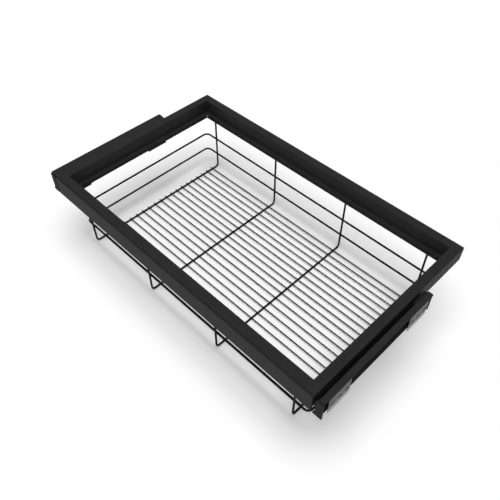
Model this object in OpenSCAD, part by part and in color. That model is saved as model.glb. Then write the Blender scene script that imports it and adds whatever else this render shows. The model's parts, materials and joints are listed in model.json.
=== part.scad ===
// Pull-out basket for a kitchen cabinet: a wire basket hung in an extruded frame,
// carried by full-extension ball slides inside side housings.
// Millimetres. Origin on the floor under the middle of the part, +Z up, front towards -Y.

/* [Frame] */
// Frame width, left to right
frame_w = 820; // [700:10:960]
// Frame depth, front to rear
frame_d = 490; // [480:5:540]
// Width of a frame member seen from above
member_w = 22; // [20:1:26]
// Height of a frame member
member_h = 40; // [36:1:46]
// Wall of the extrusion
member_wall = 1.6; // [1.2:0.1:2]
// Width of the inner lip along the bottom
lip_w = 10; // [8:1:12]
// Height of the inner lip
lip_h = 6.5; // [5:0.5:9]

/* [Front] */
// Thickness of the front cover strip
fascia_t = 4; // [3:0.5:6]
// Height of the front cover strip
fascia_h = 51; // [44:1:60]
// How far the strip's top edge lies below the frame's top
fascia_drop = 2; // [1:0.5:5]
// Thickness of the end covers beside the strip
cover_t = 3; // [2:0.5:4]

/* [Basket] */
// Depth from the frame's top to the lowest wire
basket_depth = 206; // [150:1:260]
// Thick wire
wire_d = 5; // [4:0.5:7]
// Floor wire
floor_wire_d = 3; // [2:0.5:4]
// Number of cross wires
cross_wires = 4; // [4:1:4]
// Distance between neighbouring cross wires
cross_pitch = 232.2; // [180:0.1:260]
// Distance between neighbouring floor wires in the rear half
rear_pitch = 19.6; // [15:0.1:21]
// Distance between neighbouring floor wires in the front half
front_pitch = 20.8; // [15:0.1:21]
// Number of floor wires
floor_count = 20; // [12:1:20]
// Centre height of the lower ring
lower_ring_z = 53; // [40:1:70]
// Centre height of the upper ring
upper_ring_z = 105; // [85:1:125]
// Bend radius of the rings' corners
ring_bend = 13; // [8:1:30]
// Bend radius of the cross wires' corners
cross_bend = 10; // [6:1:20]

/* [Slides] */
// Length of the slides
rail_len = 330; // [300:5:350]
// How far the basket pulls out
travel = 320; // [250:5:320]
// Diameter of the bearing balls
ball_d = 3; // [2.9:0.1:3]
// Balls in one row of a cage
balls_per_row = 8; // [4:1:8]

/* [Housings] */
// Distance from the frame's side to the outer face of the brackets
side_w = 24; // [23:0.5:28]
// Sheet thickness of housings and brackets
sheet = 1.6; // [1.2:0.1:2]
// Length of a mounting bracket
bracket_len = 62; // [56:1:66]
// Height of a mounting bracket
bracket_h = 47; // [45:1:48]
// Distance between mounting holes
hole_pitch = 21; // [18:0.5:22]
// Diameter of a mounting hole
hole_d = 5; // [4:0.1:6]

/* [Hidden] */
$fn = 64;
eps = 0.1;
fit = 0.1;

// frame
frame_cy = fascia_t / 2;
frame_top = basket_depth;
frame_z = frame_top - member_h;
half_w = frame_w / 2;
half_d = frame_d / 2;
front_y = frame_cy - half_d;
rear_y = frame_cy + half_d;
face_y = front_y - fascia_t;
chamber_c = member_w / 2;
inner_w = member_w + lip_w;
edge_r = 0.8;

// front
fascia_top = frame_top - fascia_drop;
fascia_z = fascia_top - fascia_h;
fascia_wall = 1.6;
cover_top = frame_top - 1;
cover_back = face_y + cover_t;
cover_gap = 7.5;
toe_w = 4;
toe_low = 5;
toe_high = 10;
cover_tab_t = 1.5;
cover_tab_len = 20;
cover_tab_h = 9;

// slide section, measured outwards from the frame's side
slide_z = frame_top - 24;
rail_t = 1;
leg_t = 1.5;
drawer_x = half_w + leg_t;
drawer_w = 4.9;
drawer_hh = 5.9;
middle_x = half_w + 2.9;
middle_w = 5.6;
middle_hh = 9.7;
cabinet_x = half_w + 2.6;
cabinet_w = 8;
cabinet_hh = 13.5;
ball_r = ball_d / 2;
race_r = ball_r + fit;
outer_ball_x = half_w + 5.5;
outer_ball_z = 11.1;
inner_ball_x = half_w + 4.6;
inner_ball_z = 7.3;
cage_t = 0.5;
outer_cage_x = half_w + 3.2;
outer_cage_web = half_w + 8.8;
inner_cage_x = half_w + 2.3;
inner_cage_web = half_w + 6.7;
rail_front = face_y + 7;
rail_rear = rail_front + rail_len;
bumper_len = 5.6;
bumper_gap = 0.4;
runner_len = rail_len - bumper_len - bumper_gap;
cage_len = rail_len - travel / 2 - 10;
cage_front = rail_front + travel / 4 + 3;
ball_pitch = cage_len / balls_per_row;

// housings
web_x = half_w + 10.6;
flange_end = half_w + side_w - sheet;
outer_x = half_w + side_w;
housing_top = frame_top - 1;
housing_z = frame_z;
housing_h = housing_top - housing_z;
housing_front = cover_back + 1;
housing_rear = rail_rear + 2;
end_plate_t = 1.5;
end_plate_z = fascia_z;
shelf_gap = 0.5;
shelf_gap_top = 0.4;

// brackets
bracket_top = frame_top - 5;
bracket_z = bracket_top - bracket_h;
bracket_ys = [housing_front + 45, housing_rear - 44];
bracket_r = 4;
hole_z = frame_top - 27;
pin_hole_z = frame_top - 17;
top_pin_hole_z = frame_top - 12.5;
pin_hole_r = 1.2;
boss_r = 6.2;
boss_groove_r = 4.6;
boss_groove = 0.6;
boss_h = 1.2;
foot_in = 8;
foot_screw_x = web_x + 6.9;
foot_screw_dy = 14;

// fasteners
screw_r = 2;
head_r = 4;
head_h = 2.4;
recess_l = 4.4;
recess_w = 1.1;
recess_h = 1.3;
rivet_r = 2.5;
rivet_head_r = 4;
rivet_head_h = 1.2;
small_rivet_r = 2;
small_head_r = 3.5;
small_head_h = 0.8;
rivet_ys = [rail_front + 4, rail_front + 93, rail_front + 170, rail_front + 245, rail_rear - 5];

// carriers
foot_t = 2.5;
carrier_len = 58;
carrier_in = 35;
step_in = 25;
carrier_top = frame_top - 16;
carrier_ys = [front_y + 38, front_y + 277];
carrier_screw_dy = 16;
carrier_rivet_dy = 14;

// corner cleats
cleat_gap = 0.2;
cleat_leg = 60;
cleat_wall = 3;
cleat_pocket = [27, 47];
cleat_screw = 54;

// basket
wire_r = wire_d / 2;
floor_r = floor_wire_d / 2;
weld = 0.25;
leg_y = half_d - member_w - 5.9;
ring_y = leg_y - wire_d + weld;
ring_x = half_w - member_w - 5;
floor_half_x = 1.5 * cross_pitch + 4.1;
floor_z = wire_d + floor_r - weld;
floor_last_y = rear_y - 52.3;
rear_steps = 10;
rim_x = half_w - inner_w;
rim_z = frame_z - wire_r;
tab_t = 2;
tab_len = 32;
tab_w = 11;
tab_c = member_w + 2.5;
tab_screw_dx = 11;
tab_shank = 6.5;
wire_top = frame_z - tab_t;

// damper
damper_r = 3.3;
damper_len = 41;
damper_z = frame_top - 6.5;
damper_c = half_w + 6.2;
damper_rear = rail_rear;
saddle_h = 5;
rod_r = 1.2;
rod_len = 4;

// colours
frame_black = [0.17, 0.17, 0.175];
wire_black = [0.14, 0.14, 0.145];
plastic_black = [0.08, 0.08, 0.085];
zinc = [0.62, 0.63, 0.65];
steel = [0.72, 0.73, 0.75];

// ---- helpers ----

// the right-hand piece, or its mirror image for the left
module on_side(s) {
    if (s > 0) children();
    else mirror([1, 0, 0]) children();
}

// a flat outline in X and Z, run along Y from y0
module along_y(y0, len) {
    translate([0, y0 + len, 0]) rotate([90, 0, 0]) linear_extrude(len) children();
}

// a box given by its low and high corners
module block(lo, hi) {
    translate(lo) cube(hi - lo);
}

module box_2d(x0, z0, x1, z1) {
    translate([x0, z0]) square([x1 - x0, z1 - z0]);
}

// a rectangle with all four corners rounded
module round_box_2d(x0, z0, x1, z1, r) {
    box_2d(x0 + r, z0, x1 - r, z1);
    box_2d(x0, z0 + r, x1, z1 - r);
    for (x = [x0 + r, x1 - r], z = [z0 + r, z1 - r]) translate([x, z]) circle(r);
}

// a rod along X between x0 and x1
module rod_x(x0, x1, y, z, r) {
    translate([x0, y, z]) rotate([0, 90, 0]) cylinder(h = x1 - x0, r = r);
}

module rod_y(y0, y1, x, z, r) {
    translate([x, y0, z]) rotate([-90, 0, 0]) cylinder(h = y1 - y0, r = r);
}

// a quarter bend of wire about the Z axis, from +X to +Y
module bend(radius, r) {
    rotate_extrude(angle = 90) translate([radius, 0]) circle(r);
}

// pan-head screw driven upwards, the head's seat at z = 0
module pan_screw(shank) {
    difference() {
        union() {
            translate([0, 0, -head_h]) cylinder(h = head_h, r = head_r);
            translate([0, 0, -eps]) cylinder(h = shank + eps, r = screw_r);
        }
        for (a = [0, 90])
            rotate([0, 0, a]) translate([-recess_l / 2, -recess_w / 2, -head_h - eps])
                cube([recess_l, recess_w, recess_h + eps]);
    }
}

// ---- frame ----

// cross-section of a member: x inwards from the outer face, y up from the underside
module member_section() {
    difference() {
        union() {
            round_box_2d(0, 0, member_w, member_h, edge_r);
            round_box_2d(member_w - lip_h, 0, inner_w, lip_h, edge_r);
        }
        box_2d(member_wall, member_wall, member_w - member_wall, member_h - member_wall);
        box_2d(member_w, member_wall, inner_w - member_wall, lip_h - member_wall);
    }
}

// one mitred member on the -Y side of a frame centred on the Z axis
module mitred(len, dist) {
    cut = 2 * inner_w;
    difference() {
        translate([-len / 2, -dist, frame_z]) rotate([90, 0, 90]) linear_extrude(len)
            member_section();
        for (m = [0, 1]) mirror([m, 0, 0])
            translate([len / 2, -dist, frame_z - eps]) rotate([0, 0, 45])
                translate([0, -cut / 2, 0]) cube([cut, 2 * cut, member_h + 2 * eps]);
    }
}

// holes in the underside for every screw driven up into the frame
module frame_holes() {
    for (p = concat(cleat_screw_xy, carrier_screw_xy, tab_screw_xy))
        translate([p[0], p[1], frame_z - eps]) cylinder(h = member_wall + 2 * eps, r = screw_r);
}

cleat_screw_xy = [
    for (x = [-1, 1], y = [-1, 1]) [x * (half_w - cleat_screw), y * (half_d - chamber_c)],
    for (x = [-1, 1]) [x * (half_w - chamber_c), half_d - cleat_screw]
];
carrier_screw_xy = [
    for (x = [-1, 1], y = carrier_ys, d = [-1, 1])
        [x * (half_w - chamber_c), y - frame_cy + d * carrier_screw_dy]
];
tab_screw_xy = [
    for (i = [0 : cross_wires - 1], y = [-1, 1], d = [-1, 1])
        [cross_x(i) + d * tab_screw_dx, y * (half_d - tab_c)]
];
function cross_x(i) = (i - (cross_wires - 1) / 2) * cross_pitch;

module frame_member(turn, len, dist) {
    color(frame_black) translate([0, frame_cy, 0]) difference() {
        rotate([0, 0, turn]) mitred(len, dist);
        frame_holes();
    }
}

// corner cleat for the corner at +X, -Y
module cleat() {
    lo = member_wall + cleat_gap;
    hi = member_w - member_wall - cleat_gap;
    tip = lo + cleat_leg;
    color(steel) translate([0, frame_cy, 0]) difference() {
        translate([half_w, -half_d, frame_z + lo]) linear_extrude(member_h - 2 * lo)
            difference() {
                union() {
                    box_2d(-tip, lo, -lo, hi);
                    box_2d(-hi, lo, -lo, tip);
                }
                box_2d(-cleat_pocket[1], lo + cleat_wall, -cleat_pocket[0], hi - cleat_wall);
                box_2d(-hi + cleat_wall, cleat_pocket[0], -lo - cleat_wall, cleat_pocket[1]);
            }
        cleat_bores();
    }
}

// screw holes of all four corners, cut from a cleat seen at +X, -Y
module cleat_bores() {
    depth = 12;
    for (p = [[half_w - cleat_screw, -half_d + chamber_c], [half_w - chamber_c, -half_d + cleat_screw],
              [half_w - chamber_c, carrier_ys[0] - frame_cy - carrier_screw_dy],
              [half_w - chamber_c, carrier_ys[0] - frame_cy + carrier_screw_dy]])
        translate([p[0], p[1], frame_z]) cylinder(h = depth, r = screw_r);
}

module corner_cleat(sx, sy) {
    translate([0, frame_cy, 0]) mirror([sx < 0 ? 1 : 0, 0, 0]) mirror([0, sy > 0 ? 1 : 0, 0])
        translate([0, -frame_cy, 0]) cleat();
}

module corner_screws() {
    shank = 11;
    color(steel) translate([0, frame_cy, 0])
        for (p = cleat_screw_xy) translate([p[0], p[1], frame_z]) pan_screw(shank);
}

module front_fascia() {
    color(frame_black) difference() {
        block([-half_w, face_y, fascia_z], [half_w, front_y, fascia_top]);
        block([-half_w + fascia_wall, face_y + fascia_wall, fascia_z + fascia_wall],
              [half_w - fascia_wall, front_y + eps, fascia_top - fascia_wall]);
    }
}

// ---- end covers beside the fascia, on the drawer members ----

// the plate is the same on both sides, its toe to the left; the angle behind it is mirrored
module front_cover(s) {
    plate_w = side_w - cover_gap;
    x0 = s > 0 ? outer_x - plate_w : -outer_x + toe_w;
    tab_x = drawer_x + rail_t;
    z0 = slide_z - cover_tab_h / 2;
    z1 = slide_z + cover_tab_h / 2;
    color(frame_black) {
        along_y(face_y, cover_t) translate([x0, 0]) cover_outline(plate_w);
        on_side(s) difference() {
            union() {
                block([tab_x, cover_back - eps, z0], [web_x - side_gap, cover_back + cover_tab_t, z1]);
                block([tab_x, cover_back - eps, z0], [tab_x + cover_tab_t, cover_back + cover_tab_len, z1]);
            }
            rod_x(tab_x - eps, tab_x + cover_tab_t + eps, cover_rivet_y, slide_z, small_rivet_r);
        }
    }
}
cover_rivet_y = cover_back + 13;
side_gap = 0.6;

// front view of a cover's plate from its upper left corner's X
module cover_outline(w) {
    polygon([[-toe_w, fascia_z], [w, fascia_z], [w, cover_top], [0, cover_top],
             [0, fascia_z + toe_high], [-toe_w, fascia_z + toe_low]]);
}

// ---- slides ----

// a channel, its web on the high-X or on the low-X side
module rail_section(x0, w, hh, web_high) {
    difference() {
        box_2d(x0, -hh, x0 + w, hh);
        if (web_high) box_2d(x0 - eps, -hh + rail_t, x0 + w - rail_t, hh - rail_t);
        else box_2d(x0 + rail_t, -hh + rail_t, x0 + w + eps, hh - rail_t);
    }
}

// the grooves that a pair of ball rows runs in
module races(x, z) {
    for (s = [-1, 1]) translate([x, s * z]) circle(race_r);
}

module cabinet_rail() {
    color(zinc) difference() {
        translate([0, 0, slide_z]) along_y(rail_front, rail_len) difference() {
            rail_section(cabinet_x, cabinet_w, cabinet_hh, true);
            races(outer_ball_x, outer_ball_z);
        }
        for (y = rivet_ys)
            rod_x(web_x - rail_t - eps, web_x + eps, y, slide_z, rivet_r);
    }
}

module middle_rail() {
    color(zinc) translate([0, 0, slide_z]) along_y(rail_front, runner_len) difference() {
        rail_section(middle_x, middle_w, middle_hh, true);
        races(outer_ball_x, outer_ball_z);
        races(inner_ball_x, inner_ball_z);
    }
}

module drawer_rail() {
    color(zinc) difference() {
        translate([0, 0, slide_z]) along_y(rail_front, runner_len) difference() {
            rail_section(drawer_x, drawer_w, drawer_hh, false);
            races(inner_ball_x, inner_ball_z);
        }
        for (y = concat(carrier_rivet_ys, [cover_rivet_y]))
            rod_x(drawer_x - eps, drawer_x + rail_t + eps, y, slide_z, small_rivet_r);
    }
}
carrier_rivet_ys = [for (y = carrier_ys, d = [-1, 1]) y + d * carrier_rivet_dy];

// a ball cage folded from strip, with a hole round every ball
module cage(x0, web, ball_x, ball_z) {
    hz = ball_z + cage_t / 2;
    color(steel) difference() {
        translate([0, 0, slide_z]) along_y(cage_front, cage_len) difference() {
            box_2d(x0, -hz, web + cage_t, hz);
            box_2d(x0 - eps, -hz + cage_t, web, hz - cage_t);
        }
        for (i = [0 : balls_per_row - 1])
            translate([ball_x, ball_y(i), slide_z - hz - eps])
                cylinder(h = 2 * hz + 2 * eps, r = race_r);
    }
}
function ball_y(i) = cage_front + (i + 0.5) * ball_pitch;

module balls(ball_x, ball_z) {
    color(steel)
        for (i = [0 : balls_per_row - 1], s = [-1, 1])
            translate([ball_x, ball_y(i), slide_z + s * ball_z]) sphere(ball_r);
}

module rail_bumper() {
    rail_gap = 0.2;
    block([cabinet_x, rail_rear - bumper_len, slide_z - cabinet_hh + rail_t + rail_gap],
          [web_x - rail_t, rail_rear, slide_z + cabinet_hh - rail_t - rail_gap]);
}

// ---- housings ----

// C-channel open outwards, with a wide flange over or under the slide
module housing(wide_on_top) {
    color(frame_black) difference() {
        along_y(housing_front, housing_rear - housing_front) {
            difference() {
                box_2d(web_x, housing_z, flange_end, housing_top);
                box_2d(web_x + sheet, housing_z + sheet, flange_end + eps, housing_top - sheet);
            }
            if (wide_on_top)
                box_2d(half_w + shelf_gap_top, housing_top - sheet, web_x + eps, housing_top);
            else
                box_2d(drawer_x + shelf_gap, housing_z, web_x + eps, housing_z + sheet);
        }
        for (y = rivet_ys)
            rod_x(web_x - eps, web_x + sheet + eps, y, slide_z, rivet_r);
        for (y = foot_screw_ys)
            translate([foot_screw_x, y, housing_z - eps]) cylinder(h = sheet + 2 * eps, r = screw_r);
    }
}
foot_screw_ys = [for (y = bracket_ys, d = [-1, 1]) y + d * foot_screw_dy];

module end_plate() {
    color(frame_black)
        block([web_x, housing_rear, end_plate_z], [flange_end, housing_rear + end_plate_t, housing_top]);
}

module bracket(yc) {
    y0 = yc - bracket_len / 2;
    y1 = yc + bracket_len / 2;
    wall_x = web_x + sheet + fit;
    inside = flange_end;
    color(zinc) difference() {
        union() {
            bracket_plate(y0, y1);
            block([wall_x, y1 - sheet, housing_z + sheet + fit], [inside + eps, y1, bracket_top]);
            block([wall_x, y1 - sheet, bracket_z + bracket_r], [inside + eps, y1, housing_z - fit]);
            block([outer_x - sheet - foot_in, y0, housing_z - sheet], [inside + eps, y1, housing_z]);
            for (i = [-1 : 1])
                rod_x(inside - boss_h, inside + eps, yc + i * hole_pitch, hole_z, boss_r);
        }
        for (i = [-1 : 1]) {
            rod_x(inside - boss_h - eps, outer_x + eps, yc + i * hole_pitch, hole_z, hole_d / 2);
            boss_ring(yc + i * hole_pitch);
            rod_x(inside - eps, outer_x + eps, yc + i * hole_pitch, top_pin_hole_z, pin_hole_r);
        }
        for (i = [-0.5, 0.5])
            rod_x(inside - eps, outer_x + eps, yc + i * hole_pitch, pin_hole_z, pin_hole_r);
        for (d = [-1, 1])
            translate([foot_screw_x, yc + d * foot_screw_dy, housing_z - sheet - eps])
                cylinder(h = sheet + 2 * eps, r = screw_r);
    }
}

// outer plate with its lower rear corner rounded
module bracket_plate(y0, y1) {
    translate([flange_end, 0, 0]) rotate([90, 0, 90]) linear_extrude(sheet) {
        box_2d(y0, bracket_z, y1 - bracket_r, bracket_top);
        box_2d(y0, bracket_z + bracket_r, y1, bracket_top);
        translate([y1 - bracket_r, bracket_z + bracket_r]) circle(bracket_r);
    }
}

// pressed ring round a mounting hole
module boss_ring(y) {
    difference() {
        rod_x(outer_x - boss_groove, outer_x + eps, y, hole_z, boss_r);
        rod_x(outer_x - boss_groove - eps, outer_x + 2 * eps, y, hole_z, boss_groove_r);
    }
}

module bracket_screws() {
    shank = 5;
    color(steel) for (s = [-1, 1], y = foot_screw_ys)
        translate([s * foot_screw_x, y, housing_z - sheet]) pan_screw(shank);
}

module housing_rivets() {
    color(steel) for (s = [-1, 1], y = rivet_ys) on_side(s) {
        rod_x(web_x - rail_t, web_x + sheet + eps, y, slide_z, rivet_r);
        rod_x(web_x + sheet, web_x + sheet + rivet_head_h, y, slide_z, rivet_head_r);
    }
}

module damper() {
    color(plastic_black) {
        rod_y(damper_rear - damper_len, damper_rear, damper_c, damper_z, damper_r);
        rod_y(damper_rear - damper_len - rod_len, damper_rear - damper_len + eps,
              damper_c, damper_z, rod_r);
        block([damper_c, damper_rear - damper_len + saddle_h, damper_z - saddle_h / 2],
              [web_x, damper_rear - saddle_h, damper_z + saddle_h / 2]);
    }
}

// ---- carriers ----

// an angle under the frame, its inner end stepped down to pass under the rim wire
module carrier(yc) {
    y0 = yc - carrier_len / 2;
    y1 = yc + carrier_len / 2;
    step_top = frame_z - wire_d - fit;
    color(frame_black) difference() {
        union() {
            block([half_w - carrier_in, y0, step_top - foot_t], [half_w - step_in + foot_t, y1, step_top]);
            block([half_w - step_in, y0, step_top - eps], [half_w - step_in + foot_t, y1, frame_z]);
            block([half_w - step_in, y0, frame_z - foot_t], [drawer_x, y1, frame_z]);
            block([half_w, y0, frame_z - eps], [drawer_x, y1, carrier_top]);
        }
        for (d = [-1, 1]) {
            translate([half_w - chamber_c, yc + d * carrier_screw_dy, frame_z - foot_t - eps])
                cylinder(h = foot_t + 2 * eps, r = screw_r);
            rod_x(half_w - eps, drawer_x + eps, yc + d * carrier_rivet_dy, slide_z, small_rivet_r);
        }
    }
}

module carrier_screws() {
    shank = 13;
    color(steel) translate([0, frame_cy, 0])
        for (p = carrier_screw_xy) translate([p[0], p[1], frame_z - foot_t]) pan_screw(shank);
}

module drawer_rivets() {
    color(steel) for (s = [-1, 1]) on_side(s) {
        for (y = carrier_rivet_ys) {
            rod_x(half_w, drawer_x + rail_t + eps, y, slide_z, small_rivet_r);
            rod_x(drawer_x + rail_t, drawer_x + rail_t + small_head_h, y, slide_z, small_head_r);
        }
        rod_x(drawer_x, drawer_x + rail_t + cover_tab_t + eps, cover_rivet_y, slide_z, small_rivet_r);
        rod_x(drawer_x + rail_t + cover_tab_t, drawer_x + rail_t + cover_tab_t + small_head_h,
              cover_rivet_y, slide_z, small_head_r);
    }
}

// ---- wire basket ----

// U-shaped wire: two legs down from the frame and a run under the floor
module cross_wire(i) {
    x = cross_x(i);
    run = leg_y - cross_bend;
    color(wire_black) translate([0, frame_cy, 0]) {
        rod_y(-run, run, x, wire_r, wire_r);
        for (m = [0, 1]) mirror([0, m, 0]) {
            translate([x, leg_y, wire_r + cross_bend])
                cylinder(h = wire_top - wire_r - cross_bend, r = wire_r);
            translate([x, run, wire_r + cross_bend]) rotate([90, 0, 90]) rotate([0, 0, -90])
                bend(cross_bend, wire_r);
        }
    }
}

module ring(x, z) {
    sx = x - ring_bend;
    sy = ring_y - ring_bend;
    color(wire_black) translate([0, frame_cy, 0]) {
        for (s = [-1, 1]) {
            rod_x(-sx, sx, s * ring_y, z, wire_r);
            rod_y(-sy, sy, s * x, z, wire_r);
        }
        for (mx = [0, 1], my = [0, 1]) mirror([mx, 0, 0]) mirror([0, my, 0])
            translate([sx, sy, z]) bend(ring_bend, wire_r);
    }
}

module floor_wires() {
    color(wire_black) for (i = [0 : floor_count - 1])
        rod_x(-floor_half_x, floor_half_x, floor_wire_y(i), floor_z, floor_r);
}
function floor_wire_y(i) =
    floor_last_y - min(i, rear_steps) * rear_pitch - max(i - rear_steps, 0) * front_pitch;

module hanger_tabs() {
    color(wire_black) translate([0, frame_cy, 0]) difference() {
        for (i = [0 : cross_wires - 1], s = [-1, 1])
            translate([cross_x(i) - tab_len / 2, s * (half_d - tab_c) - tab_w / 2, wire_top])
                cube([tab_len, tab_w, tab_t]);
        for (p = tab_screw_xy)
            translate([p[0], p[1], wire_top - eps]) cylinder(h = tab_t + 2 * eps, r = screw_r);
    }
}

module tab_screws() {
    color(steel) translate([0, frame_cy, 0])
        for (p = tab_screw_xy) translate([p[0], p[1], wire_top]) pan_screw(tab_shank);
}

// ---- sub-parts ----

on_side(-1) housing(true);  // left_housing
on_side(1) housing(false);  // right_housing
on_side(-1) end_plate();  // left_end_plate
on_side(1) end_plate();  // right_end_plate
on_side(-1) bracket(bracket_ys[0]);  // left_front_bracket
on_side(-1) bracket(bracket_ys[1]);  // left_rear_bracket
on_side(1) bracket(bracket_ys[0]);  // right_front_bracket
on_side(1) bracket(bracket_ys[1]);  // right_rear_bracket
bracket_screws();
on_side(-1) cabinet_rail();  // left_cabinet_rail
on_side(1) cabinet_rail();  // right_cabinet_rail
housing_rivets();
color(plastic_black) for (s = [-1, 1]) on_side(s) rail_bumper();  // rail_bumpers
on_side(-1) damper();  // left_damper
on_side(1) damper();  // right_damper
on_side(-1) middle_rail();  // left_middle_rail
on_side(1) middle_rail();  // right_middle_rail
on_side(-1) cage(outer_cage_x, outer_cage_web, outer_ball_x, outer_ball_z);  // left_outer_cage
on_side(1) cage(outer_cage_x, outer_cage_web, outer_ball_x, outer_ball_z);  // right_outer_cage
on_side(-1) balls(outer_ball_x, outer_ball_z);  // left_outer_balls
on_side(1) balls(outer_ball_x, outer_ball_z);  // right_outer_balls
on_side(-1) cage(inner_cage_x, inner_cage_web, inner_ball_x, inner_ball_z);  // left_inner_cage
on_side(1) cage(inner_cage_x, inner_cage_web, inner_ball_x, inner_ball_z);  // right_inner_cage
on_side(-1) balls(inner_ball_x, inner_ball_z);  // left_inner_balls
on_side(1) balls(inner_ball_x, inner_ball_z);  // right_inner_balls
on_side(-1) drawer_rail();  // left_drawer_rail
on_side(1) drawer_rail();  // right_drawer_rail
drawer_rivets();
frame_member(0, frame_w, half_d);  // front_member
frame_member(180, frame_w, half_d);  // rear_member
frame_member(-90, frame_d, half_w);  // left_member
frame_member(90, frame_d, half_w);  // right_member
corner_cleat(-1, -1);  // front_left_cleat
corner_cleat(1, -1);  // front_right_cleat
corner_cleat(-1, 1);  // rear_left_cleat
corner_cleat(1, 1);  // rear_right_cleat
corner_screws();
front_fascia();
front_cover(-1);  // left_front_cover
front_cover(1);  // right_front_cover
on_side(-1) carrier(carrier_ys[0]);  // left_front_carrier
on_side(-1) carrier(carrier_ys[1]);  // left_rear_carrier
on_side(1) carrier(carrier_ys[0]);  // right_front_carrier
on_side(1) carrier(carrier_ys[1]);  // right_rear_carrier
carrier_screws();
cross_wire(0);  // cross_wire_1
cross_wire(1);  // cross_wire_2
cross_wire(2);  // cross_wire_3
cross_wire(3);  // cross_wire_4
ring(rim_x, rim_z);  // rim_wire
ring(ring_x, upper_ring_z);  // upper_ring
ring(ring_x, lower_ring_z);  // lower_ring
floor_wires();
hanger_tabs();
tab_screws();
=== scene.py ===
"""Looks of the pull-out cabinet basket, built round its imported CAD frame.

Sizes are in millimetres in the frame's own axes; a mesh is written in metres.
"""

import json
import logging
import math
from collections.abc import Callable, Sequence
from dataclasses import dataclass
from enum import Enum

import bmesh
import bpy
from mathutils import Matrix, Vector
from mathutils.geometry import delaunay_2d_cdt


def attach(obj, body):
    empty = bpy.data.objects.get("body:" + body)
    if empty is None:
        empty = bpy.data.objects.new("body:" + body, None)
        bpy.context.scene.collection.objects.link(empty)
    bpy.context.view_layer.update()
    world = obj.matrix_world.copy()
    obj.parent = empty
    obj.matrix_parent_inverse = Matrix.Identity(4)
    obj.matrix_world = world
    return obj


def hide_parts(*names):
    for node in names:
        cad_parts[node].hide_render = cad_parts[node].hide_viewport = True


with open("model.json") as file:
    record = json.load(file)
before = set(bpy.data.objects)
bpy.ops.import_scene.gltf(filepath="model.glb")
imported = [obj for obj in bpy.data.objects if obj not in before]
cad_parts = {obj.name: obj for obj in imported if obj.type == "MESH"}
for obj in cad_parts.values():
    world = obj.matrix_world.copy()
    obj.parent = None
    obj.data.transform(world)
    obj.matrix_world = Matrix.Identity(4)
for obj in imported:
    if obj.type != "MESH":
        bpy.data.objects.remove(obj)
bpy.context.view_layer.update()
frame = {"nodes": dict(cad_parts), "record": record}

MM = 0.001
SMOOTH_ANGLE = math.radians(40)
WIRE_DOME = 0.6  # how far a wire's end bulges, as a share of its radius
PRESSED = "pressed_depth"  # the mesh attribute that tells how deep a bracket's point is pressed in
LOG = logging.getLogger("basket")

Outline = list[tuple[float, float]]
Steps = tuple[tuple[float, float], ...]
Colour = tuple[float, float, float]
Value = "Sock | float | Colour"


# ---- shader maths ----


class Sock:
    """A shader value: one output socket, with arithmetic that adds Math nodes."""

    def __init__(self, graph: "Graph", socket: bpy.types.NodeSocket | None) -> None:
        """Keeps the graph and the socket."""
        self.graph = graph
        self.socket = socket

    def _math(self, operation: str, a: "Sock | float", b: "Sock | float") -> "Sock":
        """One Math node on two values."""
        return self.graph.node("Math", {"operation": operation}, {0: a, 1: b})

    def __add__(self, other: "Sock | float") -> "Sock":
        """self + other."""
        return self._math("ADD", self, other)

    def __sub__(self, other: "Sock | float") -> "Sock":
        """self - other."""
        return self._math("SUBTRACT", self, other)

    def __rsub__(self, other: float) -> "Sock":
        """other - self."""
        return self._math("SUBTRACT", other, self)

    def __mul__(self, other: "Sock | float") -> "Sock":
        """self * other."""
        return self._math("MULTIPLY", self, other)

    __radd__ = __add__
    __rmul__ = __mul__

    def step(self, low: float, high: float) -> "Sock":
        """A smooth step from 0 at low to 1 at high."""
        return self.graph.node(
            "MapRange", {"interpolation_type": "SMOOTHSTEP"}, {"Value": self, "From Min": low, "From Max": high}
        )


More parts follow.
